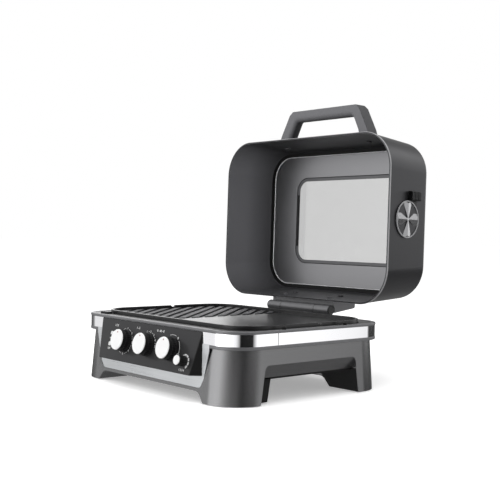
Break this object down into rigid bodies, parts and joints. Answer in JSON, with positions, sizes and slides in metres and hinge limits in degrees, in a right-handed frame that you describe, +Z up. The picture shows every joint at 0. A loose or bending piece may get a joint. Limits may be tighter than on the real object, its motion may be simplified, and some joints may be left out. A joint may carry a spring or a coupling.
{
  "type": "electric indoor grill",
  "caption": "Countertop electric grill with a ribbed and flat plate, front control knobs, and a deep hinged lid with a window, a handle and a turning vent.",
  "frame": {"origin": "on the table, in the middle of the base's outline", "axes": "+X to the right seen from the control panel, +Y to the hinge side, +Z up; the lid stands open at rest"},
  "size_m": [0.4032, 0.4458, 0.4597],
  "materials": {
    "housing_grey": "satin, metallic grey",
    "frame_grey": "satin painted",
    "black_moulding": "satin",
    "black_rubber": "matte",
    "screw_steel": "plain",
    "front_steel": "brushed",
    "bright_band": "polished",
    "well_black": "satin",
    "tray_metal": "plain",
    "heater_dark": "matte",
    "ceramic_white": "glazed",
    "panel_black": "satin",
    "unit_plastic": "plain",
    "contact_brass": "plain",
    "plate_black": "non-stick coating",
    "knob_black": "satin",
    "cap_white": "satin",
    "lid_grey": "satin, metallic grey",
    "liner_grey": "satin",
    "window_clear": "clear",
    "trim_black": "satin",
    "handle_grey": "satin, metallic grey",
    "hinge_dark": "satin painted",
    "vent_steel": "plain"
  },
  "bodies": {
    "base": {"base_housing": "housing_grey", "bottom_cover": "black_moulding", "rubber_feet": "black_rubber", "base_screws": "screw_steel", "front_fascia": "front_steel", "trim_band": "bright_band", "top_frame": "frame_grey", "cooking_well": "well_black", "drip_tray": "tray_metal", "heating_element": "heater_dark", "element_terminals": "ceramic_white", "control_panel": "panel_black", "mode_switch": "unit_plastic", "thermostat": "unit_plastic", "timer_unit": "unit_plastic", "dimmer_unit": "unit_plastic", "power_inlet": "black_moulding", "inlet_pins": "contact_brass", "hinge_mount": "hinge_dark", "hinge_pin": "screw_steel", "lid_bumpers": "black_rubber"},
    "plate": {"grill_plate": "plate_black"},
    "lid": {"lid_shell": "lid_grey", "inner_panel": "liner_grey", "window_gasket": "black_rubber", "window_glass": "window_clear", "window_frame": "trim_black", "glass_clips": "trim_black", "lid_handle": "handle_grey", "handle_screws": "screw_steel", "hinge_leaf": "hinge_dark", "leaf_screws": "screw_steel", "hinge_caps": "trim_black", "vent_rivet": "screw_steel"},
    "vent": {"vent_disc": "vent_steel", "vent_tab": "black_moulding"},
    "mode_control": {"mode_knob": "knob_black", "mode_cap": "cap_white", "mode_spindle": "screw_steel"},
    "heat_control": {"heat_knob": "knob_black", "heat_cap": "cap_white", "heat_spindle": "screw_steel"},
    "timer_control": {"timer_knob": "knob_black", "timer_cap": "cap_white", "timer_spindle": "screw_steel"},
    "dimmer_control": {"dimmer_knob": "knob_black", "dimmer_cap": "cap_white", "dimmer_spindle": "screw_steel"}
  },
  "joints": [
    {"name": "lid_hinge", "type": "hinge", "parent": "base", "child": "lid", "pos_m": [0, 0.157, 0.1135], "axis": [1, 0, 0], "range_deg": [0, 91.2]},
    {"name": "plate_lift", "type": "slide", "parent": "base", "child": "plate", "axis": [0, 0, 1], "range_m": [0, 0.03]},
    {"name": "vent_turn", "type": "hinge", "parent": "lid", "child": "vent", "pos_m": [0.19427, 0.20245, 0.26563], "axis": [0.9969, 0.0783, -0.0016], "range_deg": [0, 45]},
    {"name": "mode_turn", "type": "hinge", "parent": "base", "child": "mode_control", "pos_m": [-0.0555, -0.16181, 0.0697], "axis": [0, 0.9754, -0.2203], "range_deg": [0, 300]},
    {"name": "heat_turn", "type": "hinge", "parent": "base", "child": "heat_control", "pos_m": [0.0045, -0.16181, 0.0697], "axis": [0, 0.9754, -0.2203], "range_deg": [0, 270]},
    {"name": "timer_turn", "type": "hinge", "parent": "base", "child": "timer_control", "pos_m": [0.0645, -0.16181, 0.0697], "axis": [0, 0.9754, -0.2203], "range_deg": [0, 300]},
    {"name": "dimmer_turn", "type": "hinge", "parent": "base", "child": "dimmer_control", "pos_m": [0.102, -0.16479, 0.0565], "axis": [0, 0.9754, -0.2203], "range_deg": [0, 270]}
  ]
}
